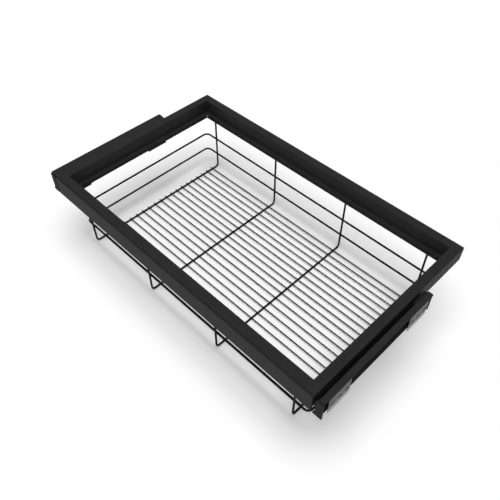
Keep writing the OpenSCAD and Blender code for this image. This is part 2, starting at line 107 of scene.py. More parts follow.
class Graph:
    """The node tree of one material or world."""

    def __init__(self, owner: bpy.types.Material | bpy.types.World) -> None:
        """Empties the owner's tree."""
        owner.use_nodes = True
        self.tree = owner.node_tree
        self.tree.nodes.clear()

    def node(
        self,
        kind: str,
        settings: dict[str, object] | None = None,
        inputs: "dict[str | int, Value] | None" = None,
        out: str | int = 0,
    ) -> Sock:
        """Adds one node.

        Args:
            kind: the node's type, without ShaderNode in front.
            settings: its properties, which are set first.
            inputs: values or links, by socket name or number.
            out: the output that is wanted.

        Returns:
            That output.
        """
        made = self.tree.nodes.new("ShaderNode" + kind)
        for key, value in (settings or {}).items():
            setattr(made, key, value)
        for key, value in (inputs or {}).items():
            if isinstance(value, Sock):
                self.tree.links.new(value.socket, made.inputs[key])
            else:
                made.inputs[key].default_value = (*value, 1.0) if self._is_colour(made.inputs[key], value) else value
        return Sock(self, made.outputs[out] if made.outputs else None)

    @staticmethod
    def _is_colour(socket: bpy.types.NodeSocket, value: object) -> bool:
        """True if a three-number value goes into a colour socket."""
        return socket.type == "RGBA" and len(value) == 3

    def place(self, stretch: Colour = (1.0, 1.0, 1.0)) -> Sock:
        """The piece's own coordinates in metres, stretched along its axes."""
        own = self.node("TexCoord", out="Object")
        return self.node("VectorMath", {"operation": "MULTIPLY"}, {0: own, 1: stretch})

    def noise(self, size_mm: float, detail: float = 2.0, stretch: Colour = (1.0, 1.0, 1.0)) -> Sock:
        """Soft noise about 0.5 with features of the given size."""
        values = {"Vector": self.place(stretch), "Scale": 1 / (size_mm * MM), "Detail": detail}
        return self.node("TexNoise", inputs=values)

    def cells(self, size_mm: float) -> Sock:
        """Draws crystal-like cells.

        Args:
            size_mm: the size of a cell.

        Returns:
            A random grey for each cell.
        """
        values = {"Vector": self.place(), "Scale": 1 / (size_mm * MM)}
        colour = self.node("TexVoronoi", {"feature": "F1"}, values, out="Color")
        return self.node("SeparateColor", inputs={0: colour})

    def mix(self, factor: Sock, a: "Sock | Colour", b: "Sock | Colour") -> Sock:
        """Colour a where factor is 0 and colour b where it is 1."""
        return self.node("Mix", {"data_type": "RGBA"}, {0: factor, 6: a, 7: b}, out=2)


# ---- finishes ----


@dataclass(frozen=True)
class Pattern:
    """What changes over a surface."""

    colour: Sock
    roughness: Sock
    height: Sock
    depth_mm: float
    metallic: Sock | None = None


@dataclass(frozen=True)
class Finish:
    """A surface finish with its plain values; each kind draws its own pattern.

    bending is the refractive index, and depth_mm how deep the relief goes.
    """

    name: str
    dark: Colour
    light: Colour
    roughness: float
    metallic: float = 0.0
    specular: float = 0.5
    bending: float = 1.5
    grain_mm: float = 0.8
    patch_mm: float = 22.0
    depth_mm: float = 0.02

    def pattern(self, graph: Graph) -> Pattern:
        """Fine grain with faint patches, as on moulded or bare parts.

        Args:
            graph: the material's nodes.

        Returns:
            What changes over the surface.
        """
        patch = graph.noise(self.patch_mm, 3)
        grain = graph.noise(self.grain_mm)
        return Pattern(
            graph.mix(patch.step(0.3, 0.7), self.dark, self.light),
            self.roughness + (patch - 0.5) * 0.12 + (grain - 0.5) * 0.06,
            grain,
            self.depth_mm,
        )

    def material(self) -> bpy.types.Material:
        """Makes the finish's material, or finds it if it is made already.

        Returns:
            The material.
        """
        made = bpy.data.materials.get(self.name)
        if made is not None:
            return made
        made = bpy.data.materials.new(self.name)
        graph = Graph(made)
        drawn = self.pattern(graph)
        bump = graph.node("Bump", inputs={"Strength": 1.0, "Distance": drawn.depth_mm * MM, "Height": drawn.height})
        values = {
            "Base Color": drawn.colour,
            "Roughness": drawn.roughness,
            "Metallic": self.metallic if drawn.metallic is None else drawn.metallic,
            "Specular IOR Level": self.specular,
            "IOR": self.bending,
            "Normal": bump,
        }
        surface = graph.node("BsdfPrincipled", inputs=values)
        graph.node("OutputMaterial", inputs={"Surface": surface})
        return made


@dataclass(frozen=True)
class PowderCoat(Finish):
    """Baked powder paint: a low orange-peel swell under a fine grain, with faint cloudy patches."""

    patch_mm: float = 35.0
    peel_mm: float = 3.0
    speck_mm: float = 1.6

    def pattern(self, graph: Graph) -> Pattern:
        """Swell, grain, patches and a few lighter specks.

        Args:
            graph: the material's nodes.

        Returns:
            What changes over the surface.
        """
        patch = graph.noise(self.patch_mm, 4)
        peel = graph.noise(self.peel_mm, 1)
        grain = graph.noise(self.grain_mm, 2)
        specks = graph.noise(self.speck_mm, 0).step(0.72, 0.8)
        return Pattern(
            graph.mix(patch.step(0.3, 0.7) * 0.8 + specks * 0.4, self.dark, self.light),
            self.roughness + (patch - 0.5) * 0.1 + (grain - 0.5) * 0.08,
            peel * 0.6 + grain * 0.4,
            self.depth_mm,
        )


@dataclass(frozen=True)
class ZincPlate(Finish):
    """Dull zinc plating: soft crystal flakes of differing brightness, with a few rubbed streaks."""

    flake_mm: float = 2.2
    streak_mm: float = 3.0

    def pattern(self, graph: Graph) -> Pattern:
        """Flakes, streaks and fine grain.

        Args:
            graph: the material's nodes.

        Returns:
            What changes over the surface.
        """
        flake = graph.cells(self.flake_mm)
        streak = graph.noise(self.streak_mm, 3, (4.0, 0.4, 4.0))
        grain = graph.noise(self.grain_mm)
        return Pattern(
            graph.mix(flake * 0.6 + streak * 0.4, self.dark, self.light),
            self.roughness + (flake - 0.5) * 0.14 + (streak - 0.5) * 0.1,
            grain * 0.7 + flake * 0.3,
            self.depth_mm,
        )


@dataclass(frozen=True)
class StampedZinc(ZincPlate):
    """Zinc plate with painted shade over its hole band above the shelf, where the channel's flange shades it, and
    deeper painted shade in its pressed rings.
    """

    shelf_mm: float = 167.0
    shelf_fade_mm: float = 1.5
    # painted shade: the dark grey that the band above the shelf and the pressed rings are mixed towards
    stain: Colour = (0.022, 0.022, 0.022)
    pock_mm: float = 3.8

    def pattern(self, graph: Graph) -> Pattern:
        """Plain flakes below the shelf; above it painted shade, darkest where the mesh is pressed in.

        Args:
            graph: the material's nodes.

        Returns:
            What changes over the surface.
        """
        plain = super().pattern(graph)
        height = graph.node("SeparateXYZ", inputs={0: graph.place()}, out="Z")
        above = height.step(self.shelf_mm * MM, (self.shelf_mm + self.shelf_fade_mm) * MM)
        pocks = graph.noise(self.pock_mm, 2).step(0.38, 0.56)
        pressed = graph.node("Attribute", {"attribute_name": PRESSED}, out="Fac")
        # painted shade: above the shelf the zinc is mixed towards dark grey, mottled by noise, darkest in the pressed
        # rings and made less metallic
        shade_mask = above * (0.48 + pocks * 0.28 + pressed * 0.24)
        return Pattern(
            graph.mix(shade_mask, plain.colour, self.stain),
            plain.roughness + shade_mask * 0.15,
            plain.height - above * pocks,
            self.depth_mm,
            self.metallic * (1 - shade_mask),
        )


@dataclass(frozen=True)
class RolledSteel(Finish):
    """Roll-formed steel strip with drawn lines along its length, which is front to rear."""

    patch_mm: float = 16.0
    line_mm: float = 1.2

    def pattern(self, graph: Graph) -> Pattern:
        """Lines along the strip and faint patches.

        Args:
            graph: the material's nodes.

        Returns:
            What changes over the surface.
        """
        lines = graph.noise(self.line_mm, 3, (1.0, 0.02, 1.0))
        patch = graph.noise(self.patch_mm, 3)
        return Pattern(
            graph.mix(lines * 0.5 + patch * 0.5, self.dark, self.light),
            self.roughness + (lines - 0.5) * 0.2 + (patch - 0.5) * 0.1,
            lines,
            self.depth_mm,
        )


@dataclass(frozen=True)
class CastAluminium(Finish):
    """Die-cast aluminium, with a sandy skin and darker pits."""

    pit_mm: float = 1.3

    def pattern(self, graph: Graph) -> Pattern:
        """Sandy skin and pits.

        Args:
            graph: the material's nodes.

        Returns:
            What changes over the surface.
        """
        skin = graph.noise(self.grain_mm, 4)
        pits = graph.noise(self.pit_mm, 1).step(0.62, 0.75)
        return Pattern(
            graph.mix(pits * 0.7 + (skin - 0.35), self.light, self.dark),
            self.roughness + pits * 0.2,
            skin - pits * 0.8,
            self.depth_mm,
        )


FRAME_BLACK = PowderCoat("frame_powder_coat", (0.009, 0.009, 0.0092), (0.014, 0.014, 0.0143), 0.75, bending=1.35)
HOUSING_BLACK = PowderCoat(
    "housing_powder_coat", (0.009, 0.009, 0.0092), (0.014, 0.014, 0.0143), 0.75, bending=1.35, grain_mm=0.6
)
COVER_BLACK = PowderCoat(
    "cover_powder_coat", (0.006, 0.006, 0.0062), (0.010, 0.010, 0.0103), 0.8, bending=1.3, grain_mm=0.6
)
WIRE_BLACK = PowderCoat(
    "wire_powder_coat",
    (0.003, 0.003, 0.0031),
    (0.0055, 0.0055, 0.0057),
    0.75,
    bending=1.3,
    grain_mm=0.5,
    depth_mm=0.012,
    peel_mm=1.8,
)
SLIDE_BLACK = RolledSteel(
    "slide_e_coat", (0.0015, 0.0015, 0.0016), (0.003, 0.003, 0.0031), 0.65, specular=0.05, bending=1.3, depth_mm=0.008
)
ZINC_PLATE = StampedZinc("bracket_zinc", (0.2, 0.2, 0.203), (0.3, 0.3, 0.304), 0.58, metallic=0.6)
CAGE_STEEL = RolledSteel("cage_strip", (0.36, 0.36, 0.365), (0.52, 0.52, 0.53), 0.34, metallic=1.0, depth_mm=0.006)
BALL_STEEL = Finish(
    "bearing_steel", (0.62, 0.62, 0.63), (0.74, 0.74, 0.75), 0.12, metallic=1.0, grain_mm=0.3, depth_mm=0.001
)
CLEAT_ALUMINIUM = CastAluminium("cleat_casting", (0.3, 0.3, 0.3), (0.6, 0.6, 0.6), 0.5, metallic=1.0, depth_mm=0.04)
FASTENER_STEEL = ZincPlate(
    "screw_zinc", (0.42, 0.42, 0.44), (0.56, 0.56, 0.58), 0.32, metallic=1.0, depth_mm=0.006, flake_mm=1.2
)
SCREW_BLACK = Finish("screw_black_zinc", (0.014, 0.014, 0.015), (0.03, 0.03, 0.032), 0.35, grain_mm=0.4)
DAMPER_PLASTIC = Finish(
    "damper_moulding", (0.002, 0.002, 0.002), (0.004, 0.004, 0.004), 0.6, bending=1.3, grain_mm=0.5, depth_mm=0.03
)

FINISH_OF_SLOT = {
    "frame_black": FRAME_BLACK,
    "housing_black": HOUSING_BLACK,
    "wire_black": WIRE_BLACK,
    "zinc_plate": ZINC_PLATE,
    "slide_black": SLIDE_BLACK,
    "cage_steel": CAGE_STEEL,
    "ball_steel": BALL_STEEL,
    "cleat_aluminium": CLEAT_ALUMINIUM,
    "fastener_steel": FASTENER_STEEL,
    "screw_black": SCREW_BLACK,
    "damper_plastic": DAMPER_PLASTIC,
}
SLOT_OF_NODE = {part["node"]: part["material_slot"] for part in frame["record"]["subparts"]}


# ---- meshes ----


class Axis(Enum):
    """The axis that a flat outline is run along."""

    X = "outline in Y and Z"
    Y = "outline in X and Z"
    Z = "outline in X and Y"

    def at(self, a: float, b: float, along: float) -> Vector:
        """Places one point of an outline.

        Args:
            a: the outline's first value.
            b: its second value.
            along: the place along the axis.

        Returns:
            The point.
        """
        if self is Axis.X:
            return Vector((along, a, b))
        return Vector((a, along, b)) if self is Axis.Y else Vector((a, b, along))


class Body(Enum):
    """The CAD bodies that new pieces ride on."""

    BASKET = "basket"
    CABINET = "cabinet_side"


def rounded(corners: Sequence[tuple[float, float, float]], steps: int = 4) -> Outline:
    """A closed outline with an arc at each corner.

    Args:
        corners: (a, b, radius) of each corner in turn.
        steps: the straight steps of one arc.

    Returns:
        The points of the outline.
    """
    made: Outline = []
    for i, (a, b, radius) in enumerate(corners):
        here = Vector((a, b))
        back = (Vector(corners[i - 1][:2]) - here).normalized()
        ahead = (Vector(corners[(i + 1) % len(corners)][:2]) - here).normalized()
        if radius <= 0:
            made.append((a, b))
            continue
        half = back.angle(ahead) / 2
        reach = radius / math.tan(half)
        middle = here + (back + ahead).normalized() * radius / math.sin(half)
        start = here + back * reach - middle
        sweep = start.angle_signed(here + ahead * reach - middle)
        for k in range(steps + 1):
            turned = start.copy()
            turned.rotate(Matrix.Rotation(-sweep * k / steps, 2))
            made.append(tuple(middle + turned))
    return made


def inset(outline: Outline, depth: float) -> Outline:
    """Moves an outline inwards.

    Args:
        outline: the closed outline.
        depth: how far each of its sides moves.

    Returns:
        The new outline, with as many points.
    """
    turn = sum(a[0] * b[1] - b[0] * a[1] for a, b in zip(outline, outline[1:] + outline[:1]))
    made: Outline = []
    for i, point in enumerate(outline):
        here, last = Vector(point), Vector(outline[i - 1])
        after = Vector(outline[(i + 1) % len(outline)])
        sides = [(here - last).normalized(), (after - here).normalized()]
        normals = [Vector((-s.y, s.x)) * (1 if turn > 0 else -1) for s in sides]
        both = normals[0] + normals[1]
        made.append(tuple(here + both * depth / max(0.3, both.dot(normals[0]))))
    return made


class Shape:
    """A mesh in the making: points in millimetres, and faces."""

    def __init__(self) -> None:
        """Starts empty."""
        self.points: list[Vector] = []
        self.faces: list[tuple[int, ...]] = []

    def skin(self, rings: Sequence[Sequence[Vector]], wrap: bool = False) -> "Shape":
        """Joins rings of equal length one after the other.

        Args:
            rings: the rings in turn.
            wrap: joins the last to the first; without it both ends are closed.

        Returns:
            The shape itself.
        """
        first, size, count = len(self.points), len(rings[0]), len(rings)
        for ring in rings:
            self.points.extend(ring)
        for i in range(count if wrap else count - 1):
            a, b = first + i * size, first + (i + 1) % count * size
            self.faces += [(a + k, a + (k + 1) % size, b + (k + 1) % size, b + k) for k in range(size)]
        if not wrap:
            last = first + (count - 1) * size
            self.faces += [tuple(range(first, first + size)), tuple(range(last, last + size))]
        return self

    def prism(self, axis: Axis, outline: Outline, low: float, high: float, edge: float = 0.35) -> "Shape":
        """Runs an outline along an axis, with rounded end edges.

        Args:
            axis: the axis.
            outline: the closed outline.
            low: where it begins on the axis.
            high: where it ends.
            edge: the radius of the end edges.

        Returns:
            The shape itself.
        """
        steps = 3
        turns = [math.pi / 2 * k / steps for k in range(steps + 1)]
        profile = [(low + edge * (1 - math.cos(t)), edge * (1 - math.sin(t))) for t in turns]
        profile += [(high + low - place, depth) for place, depth in reversed(profile)]
        return self.skin([[axis.at(a, b, c) for a, b in inset(outline, d)] for c, d in profile])

    def block(self, low: Sequence[float], high: Sequence[float], radius: float = 0.5, edge: float = 0.35) -> "Shape":
        """A box with rounded edges, given by its low and high corners."""
        corners = [(low[0], low[2]), (high[0], low[2]), (high[0], high[2]), (low[0], high[2])]
        return self.prism(Axis.Y, rounded([(a, b, radius) for a, b in corners], 3), low[1], high[1], edge)

    def turned(self, profile: Outline, centre: Vector, axis: Vector, sides: int = 32) -> "Shape":
        """A turned solid.

        Args:
            profile: (radius, height) from one end to the other.
            centre: the point of height 0.
            axis: the direction in which height grows.
            sides: the sides of each ring.

        Returns:
            The shape itself.
        """
        side = axis.orthogonal().normalized()
        other = axis.cross(side).normalized()
        angles = [math.tau * k / sides for k in range(sides)]
        around = [side * math.cos(t) + other * math.sin(t) for t in angles]
        return self.skin([[centre + axis * h + spoke * r for spoke in around] for r, h in profile])

    def bead(self, centre: Sequence[float], half: Sequence[float], sides: int = 14, rows: int = 8) -> "Shape":
        """A smooth lump.

        Args:
            centre: its middle.
            half: its half sizes along X, Y and Z.
            sides: the sides of each ring.
            rows: the steps from its bottom to its top.

        Returns:
            The shape itself.
        """
        rings = []
        angles = [math.tau * k / sides for k in range(sides)]
        for row in range(1, rows):
            tilt = math.pi * row / rows
            flat = [(math.sin(tilt) * math.cos(t), math.sin(tilt) * math.sin(t), math.cos(tilt)) for t in angles]
            rings.append([Vector([c + h * u for c, h, u in zip(centre, half, unit)]) for unit in flat])
        return self.skin(rings)

    def tube(self, path: Sequence[Vector], radius: float, closed: bool = False, sides: int = 20) -> "Shape":
        """A round wire along a path, with domed ends where it isn't closed.

        Args:
            path: the points of its centre line.
            radius: the wire's radius.
            closed: joins the end to the start.
            sides: the sides of each ring.

        Returns:
            The shape itself.
        """
        count = len(path)
        tangents = []
        for i in range(count):
            last = path[i - 1] if closed or i else path[i]
            after = path[(i + 1) % count] if closed or i < count - 1 else path[i]
            tangents.append((after - last).normalized())
        side = tangents[0].orthogonal().normalized()
        stations = []
        for point, tangent in zip(path, tangents):
            side = (side - tangent * side.dot(tangent)).normalized()
            stations.append((point, tangent, side))
        if not closed:
            dome = [math.pi / 2 * k / 4 for k in range(1, 4)]
            bulge = radius * WIRE_DOME
            head, tail = stations[0], stations[-1]
            front = [(head[0] - head[1] * bulge * math.sin(t), head[1], head[2], math.cos(t)) for t in dome]
            rear = [(tail[0] + tail[1] * bulge * math.sin(t), tail[1], tail[2], math.cos(t)) for t in dome]
            rows = [*reversed(front), *[(*s, 1.0) for s in stations], *rear]
        else:
            rows = [(*s, 1.0) for s in stations]
        rings = []
        angles = [math.tau * k / sides for k in range(sides)]
        for point, tangent, first, share in rows:
            other = tangent.cross(first)
            rings.append([point + (first * math.cos(t) + other * math.sin(t)) * radius * share for t in angles])
        return self.skin(rings, wrap=closed)

    def mirrored(self) -> "Shape":
        """Makes the mirror image on the other side of X = 0.

        Returns:
            A new shape.
        """
        made = Shape()
        made.points = [Vector((-p.x, p.y, p.z)) for p in self.points]
        made.faces = list(self.faces)
        return made

    def piece(
        self, name: str, slot: str, body: Body, *stands_for: str, finish: Finish | None = None
    ) -> bpy.types.Object:
        """Makes the Blender piece.

        Args:
            name: its name.
            slot: the record's material slot that it takes its finish from.
            body: the CAD body that it rides on.
            stands_for: the CAD nodes that it is shown in place of.
            finish: a finish other than the slot's own.

        Returns:
            The piece.
        """
        mesh = bpy.data.meshes.new(name)
        mesh.from_pydata([tuple(p * MM) for p in self.points], [], self.faces)
        work = bmesh.new()
        work.from_mesh(mesh)
        bmesh.ops.recalc_face_normals(work, faces=work.faces)
        work.to_mesh(mesh)
        work.free()
        mesh.shade_smooth()
        mesh.set_sharp_from_angle(angle=SMOOTH_ANGLE)
        mesh.materials.append((finish or FINISH_OF_SLOT[slot]).material())
        made = bpy.data.objects.new(name, mesh)
        bpy.context.scene.collection.objects.link(made)
        normals = made.modifiers.new("even_normals", "WEIGHTED_NORMAL")
        normals.keep_sharp = True
        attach(made, body.value)
        if stands_for:
            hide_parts(*stands_for)
        LOG.info("%s: %d faces on %s", name, len(mesh.polygons), body.value)
        return made


class End(Enum):
    """The front and rear ones of parts that come in pairs."""

    FRONT = "front"
    REAR = "rear"


class Side(Enum):
    """The left and right halves, as seen from the front."""

    LEFT = -1
    RIGHT = 1

    @property
    def word(self) -> str:
        """The side's name in lower case."""
        return self.name.lower()

    def of(self, shape: Shape) -> Shape:
        """A shape drawn for the right, or its mirror image for the left."""
        return shape if self is Side.RIGHT else shape.mirrored()


# ---- the wire basket ----


@dataclass
class WireBasket:
    """The basket of welded wire, and the tabs that it hangs from.

    wire and floor_wire are radii. rings is (CAD node, half its length along X, height, bend) of each closed wire.
    """

    wire: float = 2.5
    floor_wire: float = 1.5
    centre_y: float = 2.0
    cross_x: tuple[float, ...] = (-348.3, -116.1, 116.1, 348.3)
    leg_y: float = 217.1
    leg_top: float = 164.0
    cross_bend: float = 10.0
    ring_y: float = 212.35
    rings: tuple[tuple[str, float, float, float], ...] = (
        ("rim_wire", 378.0, 163.5, 3.0),
        ("upper_ring", 383.0, 105.0, 13.0),
        ("lower_ring", 383.0, 53.0, 13.0),
    )
    floor_z: float = 6.25
    floor_half: float = 352.4
    floor_y: tuple[float, ...] = tuple(194.7 - 19.6 * min(i, 10) - 20.8 * max(i - 10, 0) for i in range(20))
    tab_y: float = 220.5
    tab_size: tuple[float, float, float] = (32.0, 11.0, 2.0)
    tab_corner: float = 3.0
    floor_weld: tuple[float, float, float] = (2.3, 2.1, 1.0)
    ring_weld: tuple[float, float, float] = (2.2, 1.2, 2.2)
    tab_weld: tuple[float, float, float] = (3.6, 3.6, 1.7)

    def cross_wires(self) -> None:
        """The four U-shaped wires, each drawn from one leg's top to the middle and then mirrored."""
        low, high = self.wire, self.leg_top
        leg, bend = self.leg_y, self.cross_bend
        steps = 8
        turns = [math.pi / 2 * k / steps for k in range(steps + 1)]
        for i, x in enumerate(self.cross_x, 1):
            half = [Vector((x, leg, z)) for z in (high, high - 50, low + bend + 20)]
            half += [Vector((x, leg - bend + bend * math.cos(t), low + bend - bend * math.sin(t))) for t in turns]
            half += [Vector((x, leg * share, low)) for share in (0.8, 0.5, 0.2)]
            path = half + [Vector((x, -p.y, p.z)) for p in reversed(half)]
            path = [p + Vector((0, self.centre_y, 0)) for p in path]
            Shape().tube(path, self.wire).piece(f"bent_cross_wire_{i}", "wire_black", Body.BASKET, f"cross_wire_{i}")

    def ring_wires(self) -> None:
        """The rim under the frame and the two rings that run round the basket below it."""
        for name, x, z, bend in self.rings:
            corners = [(sx * x, sy * self.ring_y, bend) for sx, sy in ((1, -1), (1, 1), (-1, 1), (-1, -1))]
            path = [Vector((a, b + self.centre_y, z)) for a, b in rounded(corners, 10)]
            Shape().tube(path, self.wire, closed=True).piece(f"bent_{name}", "wire_black", Body.BASKET, name)

    def floor(self) -> None:
        """The thin wires of the floor, welded across the thick ones."""
        shape = Shape()
        end = self.floor_half - WIRE_DOME * self.floor_wire
        for y in self.floor_y:
            path = [Vector((x, y, self.floor_z)) for x in (-end, -200, 0, 200, end)]
            shape.tube(path, self.floor_wire, sides=16)
        shape.piece("welded_floor_wires", "wire_black", Body.BASKET, "floor_wires")

    def welds(self) -> None:
        """The small lumps of melted wire where two wires cross."""
        floor, legs = Shape(), Shape()
        for x in self.cross_x:
            for y in self.floor_y:
                floor.bead((x, y, 2 * self.wire), self.floor_weld)
            for s in (-1, 1):
                touch = self.centre_y + s * (self.leg_y - self.wire)
                for _, _, z, _ in self.rings:
                    legs.bead((x, touch, z), self.ring_weld)
                legs.bead((x, self.centre_y + s * self.leg_y, self.leg_top), self.tab_weld)
        floor.piece("floor_welds", "wire_black", Body.BASKET)
        legs.piece("ring_and_tab_welds", "wire_black", Body.BASKET)

    def tabs(self) -> None:
        """The flat tabs under the frame, with rounded corners."""
        long, wide, thick = self.tab_size
        around = ((1, 1), (-1, 1), (-1, -1), (1, -1))
        shape = Shape()
        for x in self.cross_x:
            for s in (-1, 1):
                y = self.centre_y + s * self.tab_y
                corners = [(x + a * long / 2, y + b * wide / 2, self.tab_corner) for a, b in around]
                shape.prism(Axis.Z, rounded(corners), self.leg_top, self.leg_top + thick, 0.4)
        shape.piece("rounded_hanger_tabs", "wire_black", Body.BASKET, "hanger_tabs")

    def build(self) -> None:
        """Makes every piece of the basket."""
        self.cross_wires()
        self.ring_wires()
        self.floor()
        self.welds()
        self.tabs()


# ---- fasteners ----


@dataclass
class PanHeads:
    """Pan-head screws driven upwards, with a cross recess pressed into each domed head.

    crown is (radius, height) from the head's seat to its top, and recess is (share of the cross's size, depth).
    """

    shank: float = 2.0
    crown: Steps = ((3.8, 0.0), (4.0, 0.25), (4.0, 0.9), (3.72, 1.5), (3.2, 2.0), (2.64, 2.4))
    recess: Steps = ((1.0, 0.0), (0.92, 0.15), (0.6, 1.3))
    arm: float = 2.2
    arm_half: float = 0.55
    sides: int = 48
    turn: float = 0.7

    def cross(self, angle: float) -> float:
        """Measures the cross recess.

        Args:
            angle: a direction round the screw's middle.

        Returns:
            The cross's radius in that direction.
        """
        c, s = max(abs(math.cos(angle)), 1e-6), max(abs(math.sin(angle)), 1e-6)
        return max(min(self.arm / c, self.arm_half / s), min(self.arm_half / c, self.arm / s))

    def add(self, shape: Shape, seat: Vector, shank_length: float, turn: float) -> None:
        """Adds one screw.

        Args:
            shape: the shape it goes into.
            seat: the middle of the head's seat.
            shank_length: how far the shank reaches up.
            turn: how far its recess is turned.
        """
        outer = [(self.shank, -shank_length), (self.shank, 0.0), *self.crown]
        top = self.crown[-1][1]
        angles = [math.tau * k / self.sides for k in range(self.sides)]
        rings = [[(r * math.cos(t), r * math.sin(t), -h) for t in angles] for r, h in outer]
        for share, depth in self.recess:
            radii = [self.cross(t - turn) * share for t in angles]
            rings.append([(r * math.cos(t), r * math.sin(t), depth - top) for r, t in zip(radii, angles)])
        shape.skin([[seat + Vector(p) for p in ring] for ring in rings])

    def group(self, node: str, body: Body, spots: Sequence[tuple[float, float]], seat: float, shank: float) -> None:
        """Makes one piece with a screw at every spot.

        Args:
            node: the CAD node that it is shown in place of.
            body: the CAD body that it rides on.
            spots: the screws' places in X and Y.
            seat: the height of the heads' seats.
            shank: the length of the shanks.
        """
        shape = Shape()
        for i, (x, y) in enumerate(spots):
            self.add(shape, Vector((x, y, seat)), shank, self.turn * i)
        shape.piece(f"{node}_with_heads", SLOT_OF_NODE[node], body, node)


@dataclass(frozen=True)
class RivetKind:
    """One kind of rivet on the right: its flush end and its head's seat along X, and its sizes."""

    flush_end: float
    seat: float
    shank: float
    head: float
    rise: float


@dataclass
class Rivets:
    """Domed rivets set through the slides, heads pointing outwards."""

    slide_z: float = 182.0
    housing: RivetKind = RivetKind(419.7, 422.2, 2.5, 4.0, 1.2)
    housing_y: tuple[float, ...] = (-236.0, -147.0, -70.0, 5.0, 85.0)
    drawer: RivetKind = RivetKind(410.1, 412.5, 2.0, 3.5, 0.8)
    drawer_y: tuple[float, ...] = (-219.0, -191.0, 20.0, 48.0)
    cover: RivetKind = RivetKind(411.6, 414.0, 2.0, 3.5, 0.8)
    cover_y: float = -231.0
    sides: int = 24

    def add(self, shape: Shape, kind: RivetKind, y: float) -> None:
        """Adds one rivet.

        Args:
            shape: the shape it goes into.
            kind: its kind.
            y: its place along Y.
        """
        profile = [(kind.shank, kind.flush_end - kind.seat), (kind.shank, 0.0)]
        profile += [(kind.head - 0.1, 0.0), (kind.head, 0.15)]
        profile += [(kind.head * math.cos(t), kind.rise * math.sin(t)) for t in (0.35, 0.7, 1.05, 1.35)]
        shape.turned(profile, Vector((kind.seat, y, self.slide_z)), Vector((1, 0, 0)), self.sides)

    def build(self) -> None:
        """Makes the rivets of the housings and of the drawer rails."""
        channels, rails = Shape(), Shape()
        for y in self.housing_y:
            self.add(channels, self.housing, y)
        for y in self.drawer_y:
            self.add(rails, self.drawer, y)
        self.add(rails, self.cover, self.cover_y)
        groups = ((channels, "housing_rivets", Body.CABINET), (rails, "drawer_rivets", Body.BASKET))
        for shape, name, body in groups:
            both = Shape()
            for side in Side:
                half = side.of(shape)
                shift = len(both.points)
                both.points += half.points
                both.faces += [tuple(k + shift for k in face) for face in half.faces]
            both.piece(f"domed_{name}", SLOT_OF_NODE[name], body, name)


# ---- sheet metal and extrusions ----


@dataclass
class FrontStrip:
    """The cover strip across the front and the two end covers beside it.

    cap_in is how far the strip's end caps stay behind its face and within its height. toe is how far a cover's toe
    reaches to the left and where its slope begins and ends above the lower edge. angle_x is the inner side of the
    angle behind a cover, the outer side of its leg and that of its foot. foot_y is how far that foot is sunk into the
    cover and how far it stands behind it.
    """

    half_width: float = 410.0
    face: float = -247.0
    back: float = -243.0
    low: float = 153.0
    high: float = 204.0
    wall: float = 1.6
    cap_in: tuple[float, float] = (0.2, 0.3)
    cover_width: float = 16.5
    cover_out: float = 434.0
    cover_high: float = 205.0
    cover_thick: float = 3.6
    toe: tuple[float, float, float] = (4.0, 5.0, 10.0)
    angle_x: tuple[float, float, float] = (412.5, 414.0, 420.0)
    angle_z: tuple[float, float] = (177.5, 186.5)
    angle_rear: float = -224.0
    foot_y: tuple[float, float] = (0.6, 1.5)

    def strip(self) -> None:
        """The strip: a thin channel open to the back, closed at both ends."""
        f, b, w = self.face, self.back, self.wall
        corners = [(b, self.low, 0.4), (f, self.low, 1.0), (f, self.high, 1.0), (b, self.high, 0.4)]
        corners += [(b, self.high - w, 0.4), (f + w, self.high - w, 0.5)]
        corners += [(f + w, self.low + w, 0.5), (b, self.low + w, 0.4)]
        shape = Shape().prism(Axis.X, rounded(corners), -self.half_width, self.half_width, 0.4)
        behind, within = self.cap_in
        for s in (-1, 1):
            ends = sorted((s * self.half_width, s * (self.half_width - w)))
            shape.block((ends[0], f + behind, self.low + within), (ends[1], b, self.high - within), 0.6)
        shape.piece("front_strip", "frame_black", Body.BASKET, "front_fascia")

    def cover(self, side: Side) -> None:
        """One end cover: a plate with a toe at its lower left corner, and the angle that is riveted to the slide.

        Args:
            side: the side it is on; both covers have the toe on their left.
        """
        reach, toe_low, toe_high = self.toe
        left = self.cover_out - self.cover_width if side is Side.RIGHT else reach - self.cover_out
        right = left + self.cover_width
        corners = [(left - reach, self.low, 0.8), (right, self.low, 0.8), (right, self.cover_high, 0.8)]
        corners += [(left, self.cover_high, 0.8), (left, self.low + toe_high, 1.5)]
        corners += [(left - reach, self.low + toe_low, 0.8)]
        back = self.face + self.cover_thick
        shape = Shape().prism(Axis.Y, rounded(corners), self.face, back, 0.4)
        low, high = self.angle_z
        inner, leg_out, foot_out = self.angle_x
        sunk, thick = self.foot_y
        foot = sorted((side.value * inner, side.value * foot_out))
        shape.block((foot[0], back - sunk, low), (foot[1], back + thick, high))
        leg = sorted((side.value * inner, side.value * leg_out))
        shape.block((leg[0], back, low), (leg[1], self.angle_rear, high))
        node = f"{side.word}_front_cover"
        shape.piece(f"{side.word}_end_cover", SLOT_OF_NODE[node], Body.BASKET, node, finish=COVER_BLACK)

    def build(self) -> None:
        """Makes the strip and both covers."""
        self.strip()
        for side in Side:
            self.cover(side)


